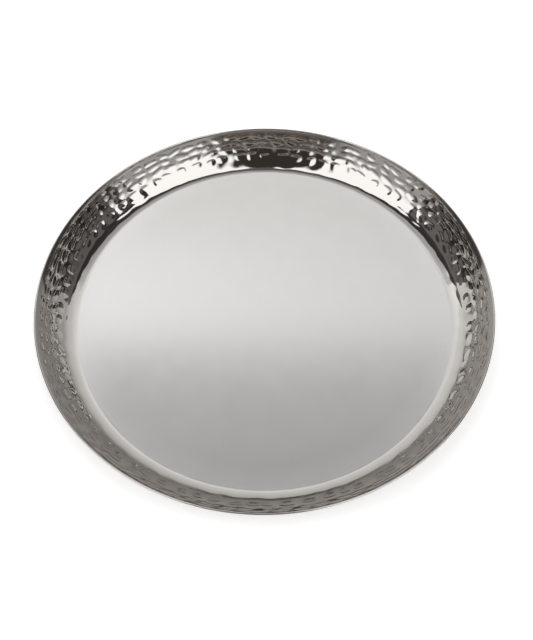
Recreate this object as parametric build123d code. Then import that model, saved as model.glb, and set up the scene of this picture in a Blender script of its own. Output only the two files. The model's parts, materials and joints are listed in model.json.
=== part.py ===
from build123d import *
import os
from math import acos, atan2, cos, pi, sin

# Hammered thali plate, in millimetres. A pressed dish sits in a pressed outer shell: their floors
# lie face to face, their walls part around a closed air gap and lap again under the lip, where a
# ring of weld joins the two edges. The origin is the middle of the base, with +Z up.

# Driving dimensions
rim_diameter = 300.0      # over the lip
inside_depth = 25.0       # from the serving floor to the top of the lip
floor_diameter = 253.0    # flat serving floor
dish_sheet = 0.6          # thickness of the dish
shell_sheet = 0.6         # thickness of the shell
dish_cove = 13.0          # inside radius between the serving floor and the dish's wall
wall_curve = 75.0         # inside radius of the dish's wall, which steepens towards the lip
base_cove = 5.0           # inside radius between the base and the shell's wall
cove_share = 2 / 3        # most of the wall's reach that the dish's cove may take
seam_width = 2.5          # band under the lip where the two walls lap
lip_flats = 6             # filed flats that round the lip

# Levels and the lip's section
serving_floor = shell_sheet + dish_sheet
lip_radius = (dish_sheet + shell_sheet) / 2
lip_centre = Vector(rim_diameter / 2 - lip_radius, serving_floor + inside_depth - lip_radius)


def along(slope):
    """Unit step up a line of this slope, in the (radius, height) plane."""
    return Vector(cos(slope), sin(slope))


def outward(slope):
    """Unit step off a line of this slope, away from the inside of the dish."""
    return Vector(sin(slope), -cos(slope))


# Each cove is as wide as it is set, where the wall leaves it the room
wall_reach = lip_centre.X - floor_diameter / 2
dish_bend = min(dish_cove, wall_reach * cove_share)
base_bend = min(base_cove, dish_bend + dish_sheet)

# The dish's wall is one curve that leaves the cove smoothly and ends at the lip
dish_cove_centre = Vector(floor_diameter / 2, serving_floor + dish_bend)
run = lip_centre - dish_cove_centre
to_lip = wall_curve + lip_radius
to_cove = wall_curve - dish_bend
spread = acos((run.length**2 + to_lip**2 - to_cove**2) / (2 * run.length * to_lip))
lip_slope = atan2(run.Y, run.X) + pi / 2 - spread
wall_centre = lip_centre - outward(lip_slope) * to_lip
lean = dish_cove_centre - wall_centre
cove_slope = atan2(lean.X, -lean.Y)

# The shell laps the dish's wall down to the foot of the seam, then runs straight to its own cove
lap_curve = wall_curve + dish_sheet
seam_slope = lip_slope - seam_width / lap_curve
seam_foot = wall_centre + outward(seam_slope) * lap_curve
base_cove_level = shell_sheet + base_bend
shell_run = (seam_foot.Y - base_cove_level + base_bend * cos(seam_slope)) / sin(seam_slope)
base_cove_centre = seam_foot - along(seam_slope) * shell_run - outward(seam_slope) * base_bend


def revolved(edges):
    """Solid of revolution about the plate's axis, from the closed outline of its section."""
    return revolve(Plane.XZ * make_face(edges), Axis.Z)


def sheet_side(level, bends):
    """One side of a pressing: a flat floor from the axis, then bends joined by straight runs."""
    edges = []
    end = Vector(0, level)
    for centre, radius, first, last in bends:
        start, middle, stop = [centre + outward(s) * radius for s in (first, (first + last) / 2, last)]
        if (start - end).length > dish_sheet / 100:
            edges.append(Line(end, start))
        edges.append(ThreePointArc(start, middle, stop))
        end = stop
    return edges


def pressed_sheet(level, bends, sheet):
    """Round pressing whose inner side follows a flat floor and the bends up to its edge."""
    inner = sheet_side(level, bends)
    outer = sheet_side(level - sheet, [(c, radius + sheet, *slopes) for c, radius, *slopes in bends])
    edge = Line(inner[-1] @ 1, outer[-1] @ 1)
    axis = Line(inner[0] @ 0, outer[0] @ 0)
    return revolved([*inner, edge, *outer, axis])


def inner_dish():
    """Dish that holds the food, with a flat floor, a cove and a curved, leaning wall."""
    cove = (dish_cove_centre, dish_bend, 0, cove_slope)
    wall = (wall_centre, wall_curve, cove_slope, lip_slope)
    return pressed_sheet(serving_floor, [cove, wall], dish_sheet)


def outer_shell():
    """Skin that stands on the table, parts from the dish at its foot and laps it at the lip."""
    cove = (base_cove_centre, base_bend, 0, seam_slope)
    lap = (wall_centre, lap_curve, seam_slope, lip_slope)
    return pressed_sheet(shell_sheet, [cove, lap], shell_sheet)


def rim_weld():
    """Half-round ring of weld over both sheet edges, filed in narrow flats as the lip."""
    corners = []
    for i in range(lip_flats + 1):
        turn = pi * i / lip_flats
        across = outward(lip_slope) * -cos(turn) + along(lip_slope) * sin(turn)
        corners.append(lip_centre + across * lip_radius)
    return revolved(Polyline(*corners, close=True).edges())


os.makedirs("parts", exist_ok=True)
for piece in (inner_dish, outer_shell, rim_weld):
    export_step(piece(), f"parts/{piece.__name__}.step")
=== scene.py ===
import json
import random
from math import acos, atan, atan2, cos, degrees, pi, radians, sin, tan

import bpy
import numpy as np
from mathutils import Matrix, Vector


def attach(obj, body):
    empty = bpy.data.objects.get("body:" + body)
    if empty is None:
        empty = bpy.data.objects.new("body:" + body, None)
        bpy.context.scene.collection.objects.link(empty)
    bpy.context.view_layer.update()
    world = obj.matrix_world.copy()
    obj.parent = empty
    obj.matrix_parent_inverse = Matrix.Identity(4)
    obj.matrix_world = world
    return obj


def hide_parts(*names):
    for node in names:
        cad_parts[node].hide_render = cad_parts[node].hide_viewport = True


# Hammered thali plate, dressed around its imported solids. Lengths are in metres.
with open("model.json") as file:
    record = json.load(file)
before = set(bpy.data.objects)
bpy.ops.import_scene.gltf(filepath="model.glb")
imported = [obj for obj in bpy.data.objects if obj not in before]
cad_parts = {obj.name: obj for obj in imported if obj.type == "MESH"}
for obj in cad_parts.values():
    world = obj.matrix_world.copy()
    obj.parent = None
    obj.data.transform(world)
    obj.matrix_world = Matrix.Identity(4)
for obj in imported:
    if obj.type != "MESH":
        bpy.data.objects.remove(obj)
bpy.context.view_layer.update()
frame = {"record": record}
mounts = {mount["name"]: mount for mount in frame["record"]["mounts"]}
extent = frame["record"]["size"]["bbox_m"]

MM = 0.001
SEED = 7

# Sizes of the plate, as its solids have them
rim_radius = min(extent[0], extent[1]) / 2
top_level = extent[2]
serving_floor = mounts["serving_floor"]["pos_m"][2]
sheet = serving_floor / 2
lip_radius = sheet
floor_radius = 126.5 * MM
dish_cove = 13.0 * MM
wall_curve = 75.0 * MM
base_cove = 5.0 * MM
seam_width = 2.5 * MM

# The floor is not quite flat out to its edge: it turns up gently over the last of it
edge_curve = 380.0 * MM
edge_slope = radians(2.2)

# How finely the meshes follow the plate. Both counts around halve exactly as often as the floor does.
AROUND = 1120
HIDDEN_AROUND = AROUND // 2
FINE_STEP = 0.5 * MM
HIDDEN_STEP = 2.5 * MM
FLOOR_HALVINGS = 4
FLOOR_SHARE = 0.96
EDGE_COARSENESS = 5
LIP_ARC_STEPS = 10
SHARP_ANGLE = radians(50)


def along(slope):
    """Unit step up a line of this slope, in the (radius, height) plane."""
    return np.array([cos(slope), sin(slope)])


def outward(slope):
    """Unit step off a line of this slope, away from the inside of the dish."""
    return np.array([sin(slope), -cos(slope)])


# Sections of the two sheets: bends and straight runs from the edge of the flat floor to the lip
lip_centre = np.array([rim_radius - lip_radius, top_level - lip_radius])
flat_edge = np.array([floor_radius - edge_curve * sin(edge_slope), serving_floor])
floor_edge = flat_edge + edge_curve * (outward(edge_slope) - outward(0))
dish_cove_centre = floor_edge - outward(edge_slope) * dish_cove
run = lip_centre - dish_cove_centre
to_lip = wall_curve + lip_radius
to_cove = wall_curve - dish_cove
spread = acos((run @ run + to_lip**2 - to_cove**2) / (2 * np.hypot(*run) * to_lip))
lip_slope = atan2(run[1], run[0]) + pi / 2 - spread
wall_centre = lip_centre - outward(lip_slope) * to_lip
lean = dish_cove_centre - wall_centre
cove_slope = atan2(lean[0], -lean[1])
dish_moves = [
    (edge_curve, edge_slope, EDGE_COARSENESS),
    (dish_cove, cove_slope - edge_slope, 1),
    (wall_curve, lip_slope - cove_slope, 1),
]

lap_curve = wall_curve + sheet
seam_slope = lip_slope - seam_width / lap_curve
seam_foot = wall_centre + outward(seam_slope) * lap_curve
shell_run = (seam_foot[1] - sheet - base_cove * (1 - cos(seam_slope))) / sin(seam_slope)
base_radius = seam_foot[0] - shell_run * cos(seam_slope) - base_cove * sin(seam_slope)
shell_moves = [(base_cove, seam_slope, 1), (shell_run, 0, 1), (lap_curve, lip_slope - seam_slope, 1)]


def side_of_sheet(start, moves, depth, step):
    """Rows of (radius, height, slope, distance from the tip) along one side of a bent sheet.

    start and moves follow the inner side from the floor's edge. A move is a bend's radius and turn,
    or a straight run's length and no turn, and how coarse its steps are. depth is how far this side
    lies outward of the inner side."""
    place = np.array(start) + outward(0) * depth
    slope = 0.0
    gone = 0.0
    rows = [(*place, slope, gone)]
    for size, turn, coarse in moves:
        radius = size + depth
        length = turn * radius if turn else size
        count = max(2, round(length / (step * coarse)))
        for share in np.linspace(0, 1, count + 1)[1:]:
            if turn:
                point = place + (outward(slope + turn * share) - outward(slope)) * radius
            else:
                point = place + along(slope) * size * share
            rows.append((*point, slope + turn * share, gone + length * share))
        place = np.array(rows[-1][:2])
        slope += turn
        gone += length
    rows = np.array(rows)
    rows[:, 3] = gone - rows[:, 3]
    return rows


class HammerRow:
    """Row of marks around the wall: its distance under the lip, and a mark's half sizes and depth."""

    def __init__(self, distance, count, wide, high, depth):
        self.distance = distance * MM
        self.count = count
        self.wide = wide * MM
        self.high = high * MM
        self.depth = depth * MM


DISH_ROWS = [
    HammerRow(distance=4.7, count=83, wide=5.2, high=2.0, depth=0.36),
    HammerRow(distance=9.0, count=82, wide=5.7, high=2.4, depth=0.41),
    HammerRow(distance=13.9, count=81, wide=5.7, high=2.7, depth=0.43),
    HammerRow(distance=19.8, count=79, wide=4.7, high=3.2, depth=0.43),
]
SHELL_ROWS = [
    HammerRow(distance=8.0, count=82, wide=4.0, high=2.2, depth=0.36),
    HammerRow(distance=13.4, count=80, wide=4.3, high=2.5, depth=0.4),
    HammerRow(distance=19.2, count=78, wide=4.3, high=3.0, depth=0.42),
]

# A mark is a bowl that rises by this power from its deepest point. It reaches shares of its half
# height up and down, and it is worked out over so many half widths.
BOWL_POWER = 1.05
REACH_UP = 0.6
REACH_DOWN = 1.3
MARK_SPAN = 2
RIDGE_ROUNDING = 0.045 * MM

# How marks differ: by shares of the pitch, of the row's half height and of its sizes, and in lean
ANGLE_JITTER = (-0.22, 0.22)
PLACE_JITTER = (-0.2, 0.2)
WIDTHS = (0.75, 1.2)
HEIGHTS = (0.8, 1.15)
DEPTHS = (0.75, 1.0)
LEANS = (-0.3, 0.3)

# Share of the marks that were struck twice, and the second strike's shares of the first one's sizes
SECOND_STRIKES = 0.8
SECOND_SHIFTS = (-0.6, 0.6)
SECOND_DROPS = (-0.3, 0.5)
SECOND_WIDTHS = (0.35, 0.55)
SECOND_HEIGHTS = (0.5, 0.75)
SECOND_LEANS = (-0.6, 0.6)

# The dish's wall stands off its curve in a plain band under the lip, which is a little steeper, in a
# belt below it that the hammer has beaten outward, and in slight waves at its foot
BAND_FOOT = 3.0 * MM
BAND_DEPTH = 0.1 * MM
BELT_MIDDLE = 16.0 * MM
BELT_REACH = 9.0 * MM
BELT_DEPTH = 0.25 * MM
WAVES = 10
WAVE_COUNTS = (22, 80)
WAVE_PLACES = (17.0 * MM, 26.0 * MM)
WAVE_REACH = 4.0 * MM
WAVE_DEPTH = 0.045 * MM


class BeatenWall:
    """How far outward the dish's wall stands off its curve, apart from the marks in it."""

    def __init__(self, seed):
        draw = random.Random(seed)
        self.waves = []
        for _ in range(WAVES):
            count = draw.randint(*WAVE_COUNTS)
            phase = draw.uniform(0, 2 * pi)
            self.waves.append((count, phase, draw.uniform(*WAVE_PLACES)))

    def depth(self, angles, distances):
        """Depth at each distance under the lip (rows) and each angle (columns)."""
        down = distances / BAND_FOOT
        band = BAND_DEPTH * down * np.exp((1 - down**2) / 2)
        off_middle = np.clip((distances - BELT_MIDDLE) / BELT_REACH, -1, 1)
        belt = BELT_DEPTH * (1 + np.cos(pi * off_middle)) / 2
        total = np.outer(band + belt, np.ones_like(angles))
        for count, phase, place in self.waves:
            fade = np.exp(-((distances - place) / WAVE_REACH)**2)
            total += WAVE_DEPTH * np.outer(fade, np.cos(count * angles + phase))
        return total


class HammeredFace:
    """Depth of shallow marks with softly rounded ridges, over a wall that may be beaten."""

    def __init__(self, rows, wall_radius, seed, wall=None):
        draw = random.Random(seed)
        self.wall_radius = wall_radius
        self.wall = wall
        self.marks = []
        for number, row in enumerate(rows):
            pitch = 2 * pi / row.count
            for i in range(row.count):
                angle = (i + number / 2 + draw.uniform(*ANGLE_JITTER)) * pitch
                distance = row.distance + draw.uniform(*PLACE_JITTER) * row.high
                wide = row.wide * draw.uniform(*WIDTHS)
                high = row.high * draw.uniform(*HEIGHTS)
                depth = row.depth * draw.uniform(*DEPTHS)
                lean = draw.uniform(*LEANS)
                self.marks.append((angle, distance, wide, high, depth, lean))
                if draw.random() < SECOND_STRIKES:
                    angle += draw.uniform(*SECOND_SHIFTS) * wide / wall_radius
                    distance += draw.uniform(*SECOND_DROPS) * high
                    wide *= draw.uniform(*SECOND_WIDTHS)
                    high *= draw.uniform(*SECOND_HEIGHTS)
                    lean = draw.uniform(*SECOND_LEANS)
                    self.marks.append((angle, distance, wide, high, depth, lean))

    def depth(self, angles, distances):
        """Depth at each distance under the lip (rows) and each angle (columns)."""
        total = np.zeros((len(distances), len(angles)))
        for angle, distance, wide, high, depth, lean in self.marks:
            across = (angles - angle + pi) % (2 * pi) - pi
            columns = np.nonzero(np.abs(across) * self.wall_radius < MARK_SPAN * wide)[0]
            rows = np.nonzero(np.abs(distances - distance) < MARK_SPAN * wide)[0]
            u = across[columns][None, :] * self.wall_radius
            v = (distances[rows] - distance)[:, None]
            a = (u * cos(lean) + v * sin(lean)) / wide
            b = (v * cos(lean) - u * sin(lean)) / high
            b /= np.where(b < 0, REACH_UP, REACH_DOWN)
            bowl = depth * (1 - (a * a + b * b)**BOWL_POWER)
            total[np.ix_(rows, columns)] += np.exp(bowl / RIDGE_ROUNDING)
        marks = RIDGE_ROUNDING * np.log1p(total)
        if self.wall:
            marks += self.wall.depth(angles, distances)
        return marks


def ring(radii, heights, angles):
    """One closed ring of points around the plate's axis."""
    levels = np.broadcast_to(heights, angles.shape)
    return np.stack([radii * np.cos(angles), radii * np.sin(angles), levels], 1)


def angles_of(count):
    """This many angles, evenly around the plate's axis."""
    return np.arange(count) * (2 * pi / count)


def side_rings(rows, count, face=None, sign=1):
    """Rings along one side of a sheet, pushed outward by a face's depths, or inward by a sign of -1."""
    angles = angles_of(count)
    depths = np.zeros((len(rows), count)) if face is None else face.depth(angles, rows[:, 3]) * sign
    for (radius, height, slope, _), depth in zip(rows, depths):
        step = outward(slope)
        yield ring(radius + step[0] * depth, height + step[1] * depth, angles)


def floor_rings(radius, height, count):
    """Rings of a flat floor from near its middle out to its edge, ever finer."""
    for halving in range(FLOOR_HALVINGS, 0, -1):
        points = count >> halving
        yield ring(radius * FLOOR_SHARE / 2**(halving - 1), height, angles_of(points))


def strip(first, a, second, b):
    """Faces between rings of a and b points that start at these vertices; b may halve or double a."""
    if a == b:
        return [(first + k, second + k, second + (k + 1) % b, first + (k + 1) % a) for k in range(a)]
    faces = []
    if b == 2 * a:
        for k in range(a):
            near = first + k
            far = first + (k + 1) % a
            outer = [second + (2 * k + i) % b for i in range(3)]
            faces += [(near, outer[0], outer[1]), (near, outer[1], far), (far, outer[1], outer[2])]
        return faces
    for k in range(b):
        inner = [first + (2 * k + i) % a for i in range(3)]
        near = second + k
        far = second + (k + 1) % b
        faces += [(inner[0], near, inner[1]), (inner[1], near, far), (inner[1], far, inner[2])]
    return faces


def solid_of_rings(name, rings, poles=None):
    """Closed mesh through the rings in turn. With two poles it ends in them, and else it joins up."""
    starts = np.cumsum([0] + [len(points) for points in rings])
    faces = []
    for i in range(len(rings) - (1 if poles else 0)):
        j = (i + 1) % len(rings)
        faces += strip(int(starts[i]), len(rings[i]), int(starts[j]), len(rings[j]))
    points = np.concatenate(rings)
    if poles:
        first_pole = len(points)
        last_pole = first_pole + 1
        first_count = len(rings[0])
        last_count = len(rings[-1])
        last_ring = int(starts[-2])
        faces += [(first_pole, k, (k + 1) % first_count) for k in range(first_count)]
        faces += [(last_pole, last_ring + (k + 1) % last_count, last_ring + k) for k in range(last_count)]
        points = np.concatenate([points, np.array(poles)])
    mesh = bpy.data.meshes.new(name)
    mesh.from_pydata(points.tolist(), [], faces)
    mesh.polygons.foreach_set("use_smooth", np.ones(len(faces), bool))
    mesh.set_sharp_from_angle(angle=SHARP_ANGLE)
    piece = bpy.data.objects.new(name, mesh)
    bpy.context.collection.objects.link(piece)
    return piece


def pressed_sheet(name, start, moves, sides):
    """One sheet of the plate, closed from the middle of its top to the middle of its underside.

    sides gives the mesh step and the points around of its two sides, and the face and its sign where
    a side is not smooth."""
    (step_in, count_in, *face_in), (step_out, count_out, *face_out) = sides
    rings = list(floor_rings(start[0], start[1], count_in))
    rings += side_rings(side_of_sheet(start, moves, 0, step_in), count_in, *face_in)
    rings += list(side_rings(side_of_sheet(start, moves, sheet, step_out), count_out, *face_out))[::-1]
    rings += list(floor_rings(start[0], start[1] - sheet, count_out))[::-1]
    return solid_of_rings(name, rings, [(0, 0, start[1]), (0, 0, start[1] - sheet)])


def dish_piece():
    """Dish with a hammered wall."""
    wall = BeatenWall(SEED + 3)
    seen = (FINE_STEP, AROUND, HammeredFace(DISH_ROWS, lip_centre[0], SEED, wall))
    hidden = (HIDDEN_STEP, HIDDEN_AROUND, wall)
    return pressed_sheet("hammered_dish", flat_edge, dish_moves, (seen, hidden))


def shell_piece():
    """Outer skin, hammered from outside."""
    hidden = (HIDDEN_STEP, HIDDEN_AROUND)
    seen = (FINE_STEP, AROUND, HammeredFace(SHELL_ROWS, lip_centre[0], SEED + 1), -1)
    return pressed_sheet("hammered_shell", (base_radius, sheet), shell_moves, (hidden, seen))


LIP_WAVES = 6
LIP_WAVE_COUNTS = (9, 60)
LIP_WAVE_SHARE = 0.03


def lip_piece():
    """Weld ring over both sheet edges, dressed by hand to a round lip."""
    angles = angles_of(AROUND)
    draw = random.Random(SEED + 2)
    waves = [(draw.randint(*LIP_WAVE_COUNTS), draw.uniform(0, 2 * pi)) for _ in range(LIP_WAVES)]
    dressed = sum(np.sin(count * angles + phase) for count, phase in waves) / LIP_WAVES
    radius = lip_radius * (1 - LIP_WAVE_SHARE + LIP_WAVE_SHARE * dressed)
    rings = []
    for i in range(LIP_ARC_STEPS + 1):
        turn = lip_slope + pi / 2 - pi * i / LIP_ARC_STEPS
        rings.append(ring(lip_centre[0] + radius * cos(turn), lip_centre[1] + radius * sin(turn), angles))
    return solid_of_rings("dressed_lip", rings)


class Nodes:
    """Short way to write a material's nodes."""

    def __init__(self, tree):
        self.tree = tree

    def add(self, kind, inputs=None, **settings):
        node = self.tree.nodes.new(kind)
        for key, value in settings.items():
            setattr(node, key, value)
        for key, value in (inputs or {}).items():
            self.put(node.inputs[key], value)
        return node

    def put(self, socket, value):
        if isinstance(value, bpy.types.NodeSocket):
            self.tree.links.new(value, socket)
        else:
            socket.default_value = value

    def math(self, operation, *values):
        return self.add("ShaderNodeMath", dict(enumerate(values)), operation=operation).outputs[0]

    def vector(self, operation, *values):
        return self.add("ShaderNodeVectorMath", dict(enumerate(values)), operation=operation)

    def noise(self, place, scale, detail):
        """Noise from -0.5 to 0.5 at this many cells per unit of place."""
        inputs = {"Vector": place, "Scale": scale, "Detail": detail}
        return self.math("SUBTRACT", self.add("ShaderNodeTexNoise", inputs).outputs["Fac"], 0.5)

    def fade(self, value, low, high):
        """Smooth step from 0 at low to 1 at high."""
        inputs = {"Value": value, "From Min": low, "From Max": high}
        node = self.add("ShaderNodeMapRange", inputs, interpolation_type="SMOOTHSTEP")
        return node.outputs["Result"]

    def total(self, *values):
        """Sum of values, each a number or a (value, factor) pair."""
        terms = [self.math("MULTIPLY", *value) if isinstance(value, tuple) else value for value in values]
        result = terms[0]
        for term in terms[1:]:
            result = self.math("ADD", result, term)
        return result


# Finish of the steel: its colours, and the share of its light that it keeps at a glancing angle
POLISHED = (0.46, 0.442, 0.424)
SATIN = (0.56, 0.555, 0.545)
GLANCING = (0.79, 0.765, 0.75)
SATIN_ROUGHNESS = 0.17
POLISH_ROUGHNESS = 0.07

# Where satin ends: how wide the change is, how far it wanders, and how far past the flat it lies
SATIN_FADE = 0.8 * MM
SATIN_WANDER = 1.2 * MM
DISH_OVERLAP = 0.4 * MM
SHELL_OVERLAP = 0.8 * MM

# Cells of noise around a spun line, and spun lines to a metre of radius
SPUN_CELLS = 4.0
SPUN_LINES = 2600.0

# Heights of the fine relief
GRAIN_HEIGHT = 0.004 * MM
SPUN_HEIGHT = 0.0012 * MM
RIPPLE_HEIGHT = 0.02 * MM


def steel(name, satin_radius):
    """Steel that is satin inside a radius, and polished outside it."""
    material = bpy.data.materials.new(name)
    material.use_nodes = True
    nodes = Nodes(material.node_tree)
    shader = material.node_tree.nodes["Principled BSDF"]

    place = nodes.add("ShaderNodeTexCoord").outputs["Object"]
    flat = nodes.vector("MULTIPLY", place, (1, 1, 0)).outputs["Vector"]
    radius = nodes.vector("LENGTH", flat).outputs["Value"]
    around = nodes.add("ShaderNodeSeparateXYZ", {0: nodes.vector("NORMALIZE", flat).outputs["Vector"]})
    spun = nodes.add("ShaderNodeCombineXYZ", {
        "X": nodes.math("MULTIPLY", around.outputs["X"], SPUN_CELLS),
        "Y": nodes.math("MULTIPLY", around.outputs["Y"], SPUN_CELLS),
        "Z": nodes.math("MULTIPLY", radius, SPUN_LINES),
    }).outputs["Vector"]

    grain = nodes.noise(place, scale=4200, detail=2)
    lines = nodes.noise(spun, scale=1, detail=3)
    cloud = nodes.noise(place, scale=16, detail=3)
    wipe = nodes.noise(place, scale=75, detail=3)
    ripple = nodes.noise(place, scale=210, detail=1)
    edge = nodes.total(radius, (nodes.noise(place, scale=55, detail=3), SATIN_WANDER))
    polished = nodes.fade(edge, satin_radius - SATIN_FADE, satin_radius + SATIN_FADE)
    satin = nodes.math("SUBTRACT", 1.0, polished)
    satin_grain = nodes.math("MULTIPLY", grain, satin)

    roughness = nodes.total(
        POLISH_ROUGHNESS,
        (satin, SATIN_ROUGHNESS - POLISH_ROUGHNESS),
        (cloud, 0.05),
        (wipe, 0.035),
        (satin_grain, 0.1),
    )
    nodes.put(shader.inputs["Roughness"], roughness)

    shade = nodes.total(1.0, (cloud, 0.06), (wipe, 0.06), (satin_grain, 0.09), (lines, 0.03))
    tint = nodes.add("ShaderNodeMix", {"Factor": polished}, data_type="RGBA")
    colours = [socket for socket in tint.inputs if socket.type == "RGBA"]
    colours[0].default_value = (*SATIN, 1)
    colours[1].default_value = (*POLISHED, 1)
    blended = next(socket for socket in tint.outputs if socket.type == "RGBA")
    shaded = nodes.vector("SCALE", blended)
    nodes.put(shaded.inputs["Scale"], shade)
    nodes.put(shader.inputs["Base Color"], shaded.outputs["Vector"])
    shader.inputs["Metallic"].default_value = 1
    shader.inputs["Specular Tint"].default_value = (*GLANCING, 1)

    height = nodes.total(
        (satin_grain, GRAIN_HEIGHT),
        (lines, SPUN_HEIGHT),
        (nodes.math("MULTIPLY", ripple, polished), RIPPLE_HEIGHT),
    )
    bump = nodes.add("ShaderNodeBump", {"Height": height, "Distance": 1.0, "Strength": 1.0})
    nodes.put(shader.inputs["Normal"], bump.outputs["Normal"])
    return material


# The plate
dish = dish_piece()
shell = shell_piece()
lip = lip_piece()
dish_steel = steel("satin_and_polished_dish", floor_radius + DISH_OVERLAP)
shell_steel = steel("spun_base_shell", base_radius + SHELL_OVERLAP)
lip_steel = steel("polished_weld", 0.0)
finishes = [
    (dish, "inner_dish", "dish_steel", dish_steel),
    (shell, "outer_shell", "shell_steel", shell_steel),
    (lip, "rim_weld", "lip_steel", lip_steel),
]
for piece, node, slot, material in finishes:
    piece.data.materials.append(material)
    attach(piece, "root")
    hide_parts(node)


# Studio: directions are an azimuth from the camera's side, plus to the right, and an elevation
def toward(azimuth, elevation):
    """Unit vector from the plate in this direction, in degrees."""
    a = radians(azimuth)
    e = radians(elevation)
    return Vector((sin(a) * cos(e), -cos(a) * cos(e), sin(e)))


PANEL_DISTANCE = 2.0
PANEL_STEP = 6
WHITE = (1, 1, 1)
PALE = (1.01, 1.0, 0.985)
WARM = (1.04, 0.99, 0.95)
BROWN = (1.15, 0.95, 0.84)


def panel_light(name, radiance, colour, straight, rise=0.0, lean=0.0, by_height=None, by_azimuth=None):
    """Material of a studio panel that shines with this radiance.

    It is brighter by rise at the zenith and by lean to the left. by_height gives two elevations and a
    share: the light goes from that share at the first to all of it at the second. by_azimuth does the
    same for azimuths."""
    material = bpy.data.materials.new(name)
    material.use_nodes = True
    nodes = Nodes(material.node_tree)
    place = nodes.add("ShaderNodeTexCoord").outputs["Object"]
    across = nodes.add("ShaderNodeSeparateXYZ", {0: place}).outputs
    upright = nodes.vector("MULTIPLY", place, (0, 1, 1) if straight else (1, 1, 1)).outputs["Vector"]
    direction = nodes.vector("NORMALIZE", upright).outputs["Vector"]
    height = nodes.add("ShaderNodeSeparateXYZ", {0: direction}).outputs["Z"]
    strength = nodes.total(radiance, (height, rise), (across["X"], -lean / PANEL_DISTANCE))
    if by_height:
        low, high, share = by_height
        lit = nodes.fade(height, sin(radians(low)), sin(radians(high)))
        strength = nodes.math("MULTIPLY", strength, nodes.total(share, (lit, 1 - share)))
    if by_azimuth:
        start, end, share = by_azimuth
        azimuth = nodes.math("ARCTAN2", across["X"], nodes.math("MULTIPLY", across["Y"], -1.0))
        lit = nodes.fade(azimuth, radians(start), radians(end))
        strength = nodes.math("MULTIPLY", strength, nodes.total(share, (lit, 1 - share)))
    shader = material.node_tree.nodes["Principled BSDF"]
    shader.inputs["Base Color"].default_value = (0, 0, 0, 1)
    shader.inputs["Specular IOR Level"].default_value = 0
    shader.inputs["Emission Color"].default_value = (*colour, 1)
    nodes.put(shader.inputs["Emission Strength"], strength)
    return material


def panel(name, azimuths, elevations, radiance, colour=WHITE, straight=False, **changes):
    """Studio panel that fills these angles, curved or, behind the plate, with straight edges.

    changes says how its light changes over it, as panel_light takes it."""
    columns = max(2, round((azimuths[1] - azimuths[0]) / PANEL_STEP)) + 1
    rows = max(2, round((elevations[1] - elevations[0]) / PANEL_STEP)) + 1
    points = []
    for e in np.linspace(*elevations, rows):
        for a in np.linspace(*azimuths, columns):
            level = degrees(atan(tan(radians(e)) * -cos(radians(a)))) if straight else e
            points.append(toward(a, level) * PANEL_DISTANCE)
    faces = [(i * columns + j, i * columns + j + 1, (i + 1) * columns + j + 1, (i + 1) * columns + j)
             for i in range(rows - 1) for j in range(columns - 1)]
    mesh = bpy.data.meshes.new(name)
    mesh.from_pydata(points, [], faces)
    mesh.materials.append(panel_light(name, radiance, colour, straight, **changes))
    obj = bpy.data.objects.new(name, mesh)
    obj.visible_camera = False
    bpy.context.collection.objects.link(obj)


TABLE_RADIUS = 0.7
TABLE_LEVEL = -0.0002
TABLE_POINTS = 96
TABLE_COLOUR = (0.9, 0.9, 0.9)
TABLE_ROUGHNESS = 0.9
TABLE_GLOW = 0.4
AMBIENT = 1.3


def table():
    """Wide pale floor, white to the camera, that keeps the plate's shadow."""
    points = ring(TABLE_RADIUS, TABLE_LEVEL, angles_of(TABLE_POINTS))
    mesh = bpy.data.meshes.new("table")
    mesh.from_pydata(points.tolist(), [], [range(TABLE_POINTS)])
    material = bpy.data.materials.new("pale_table")
    material.use_nodes = True
    nodes = Nodes(material.node_tree)
    shader = material.node_tree.nodes["Principled BSDF"]
    shader.inputs["Roughness"].default_value = TABLE_ROUGHNESS
    shader.inputs["Specular IOR Level"].default_value = 0.0
    shader.inputs["Base Color"].default_value = (*TABLE_COLOUR, 1)
    shader.inputs["Emission Color"].default_value = (*WHITE, 1)
    rays = nodes.add("ShaderNodeLightPath").outputs
    glow = nodes.math("MULTIPLY", rays["Is Camera Ray"], TABLE_GLOW)
    nodes.put(shader.inputs["Emission Strength"], glow)
    mesh.materials.append(material)
    obj = bpy.data.objects.new("table", mesh)
    bpy.context.collection.objects.link(obj)


def surround():
    """Surround that is white to the camera and in reflections, and lights the table evenly."""
    world = bpy.data.worlds.new("surround")
    bpy.context.scene.world = world
    world.use_nodes = True
    nodes = Nodes(world.node_tree)
    rays = nodes.add("ShaderNodeLightPath").outputs
    mirrored = nodes.math("MAXIMUM", rays["Is Glossy Ray"], rays["Is Transmission Ray"])
    seen = nodes.math("MAXIMUM", rays["Is Camera Ray"], mirrored)
    background = world.node_tree.nodes["Background"]
    background.inputs["Color"].default_value = (*WHITE, 1)
    nodes.put(background.inputs["Strength"], nodes.total(AMBIENT, (seen, 1 - AMBIENT)))


# Azimuths of the studio's parts
CARD = (-31, 19)
LEFT_BOX = (-82, -31)
RIGHT_BOX = (19, 74)
LEFT_SIDE = (-127, -82)
RIGHT_SIDE = (74, 127)
LEFT_CORNER = (-127, -118)
RIGHT_CORNER = (122, 127)
BEHIND = (127, 233)

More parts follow.
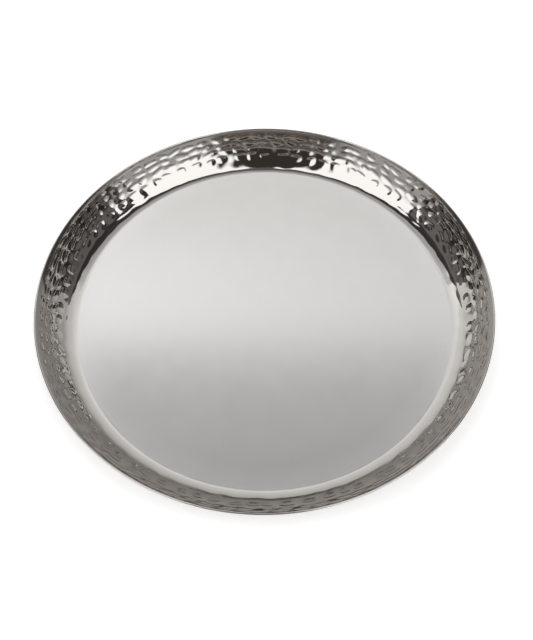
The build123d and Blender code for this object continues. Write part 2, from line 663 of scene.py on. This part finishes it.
panel("softbox_left", LEFT_BOX, (-4, 87), 2.1, by_height=(15, 32, 0.3), by_azimuth=(-31, -39, 0.35))
panel("softbox_right", RIGHT_BOX, (-4, 87), 2.1, by_height=(15, 32, 0.3), by_azimuth=(19, 27, 0.35))
panel("softbox_left_high", (-96, -82), (48, 87), 2.1)
panel("softbox_right_high", (74, 92), (48, 87), 2.1)
panel("card_low", CARD, (-4, 13), 0.1, BROWN, by_height=(3, 12, 2.2))
panel("card_strip", CARD, (13, 24), 0.42, WARM, by_height=(13, 22, 0.25))
panel("card_high", CARD, (24, 87), 0.06, BROWN, by_height=(25, 35, 6.5))
panel("side_left", (-118, -82), (-4, 23), 0.24, WARM, by_height=(6, 26, 0.15))
panel("side_right", (74, 122), (-4, 23), 0.2, WARM, by_height=(6, 26, 0.15))
panel("side_left_upper", LEFT_SIDE, (23, 30), 0.24, WARM, by_height=(6, 26, 0.15))
panel("side_right_upper", RIGHT_SIDE, (23, 30), 0.2, WARM, by_height=(6, 26, 0.15))
panel("side_left_middle", LEFT_SIDE, (30, 48), 0.07, WARM, by_height=(30, 37, 3.4))
panel("side_right_middle", RIGHT_SIDE, (30, 48), 0.05, WARM, by_height=(30, 37, 4.0))
panel("side_left_high", (-127, -96), (48, 87), 0.06)
panel("side_right_high", (92, 127), (48, 87), 0.06)
panel("backdrop_left", LEFT_CORNER, (5, 23), 0.7, PALE, rise=0.8, lean=0.25)
panel("backdrop_right", RIGHT_CORNER, (5, 23), 0.7, PALE, rise=0.8, lean=0.25)
panel("backdrop_low_left", LEFT_CORNER, (-4, 5), 0.12, WARM)
panel("backdrop_low_right", RIGHT_CORNER, (-4, 5), 0.12, WARM)
panel("backdrop_low", BEHIND, (-4, 9), 0.12, WARM, straight=True)
panel("backdrop_middle", BEHIND, (9, 50), 0.6, PALE, rise=0.72, lean=0.25, straight=True)
panel("backdrop_high", BEHIND, (50, 60), -0.1, rise=1.72, lean=0.6, straight=True)
panel("ceiling_back", BEHIND, (60, 74), 0.68, by_height=(60, 66, 1.36), lean=0.12, straight=True)
panel("ceiling_top", BEHIND, (74, 82), 0.24, straight=True)
panel("ceiling_middle", BEHIND, (82, 90), 0.18, straight=True)
panel("ceiling_front", (-127, 127), (87, 90), 0.18)
table()
surround()


# Camera, set to the photograph's view
AIM = Vector((1.31 * MM, -6.77 * MM, 1.2 * MM))
DISTANCE = 525 * MM
ELEVATION = radians(57.80)
ROLL = radians(0.571)
LENS = 43.42

back = Vector((0, -cos(ELEVATION), sin(ELEVATION)))
side = Vector((1, 0, 0))
rise = Vector((0, sin(ELEVATION), cos(ELEVATION)))
camera_right = side * cos(ROLL) - rise * sin(ROLL)
camera_up = side * sin(ROLL) + rise * cos(ROLL)
camera_turn = Matrix((camera_right, camera_up, back)).transposed().to_4x4()
camera_data = bpy.data.cameras.new("camera")
camera_data.lens = LENS
camera = bpy.data.objects.new("camera", camera_data)
camera.matrix_world = Matrix.Translation(AIM + back * DISTANCE) @ camera_turn
bpy.context.collection.objects.link(camera)
bpy.context.scene.camera = camera
bpy.context.scene.view_settings.view_transform = "Standard"
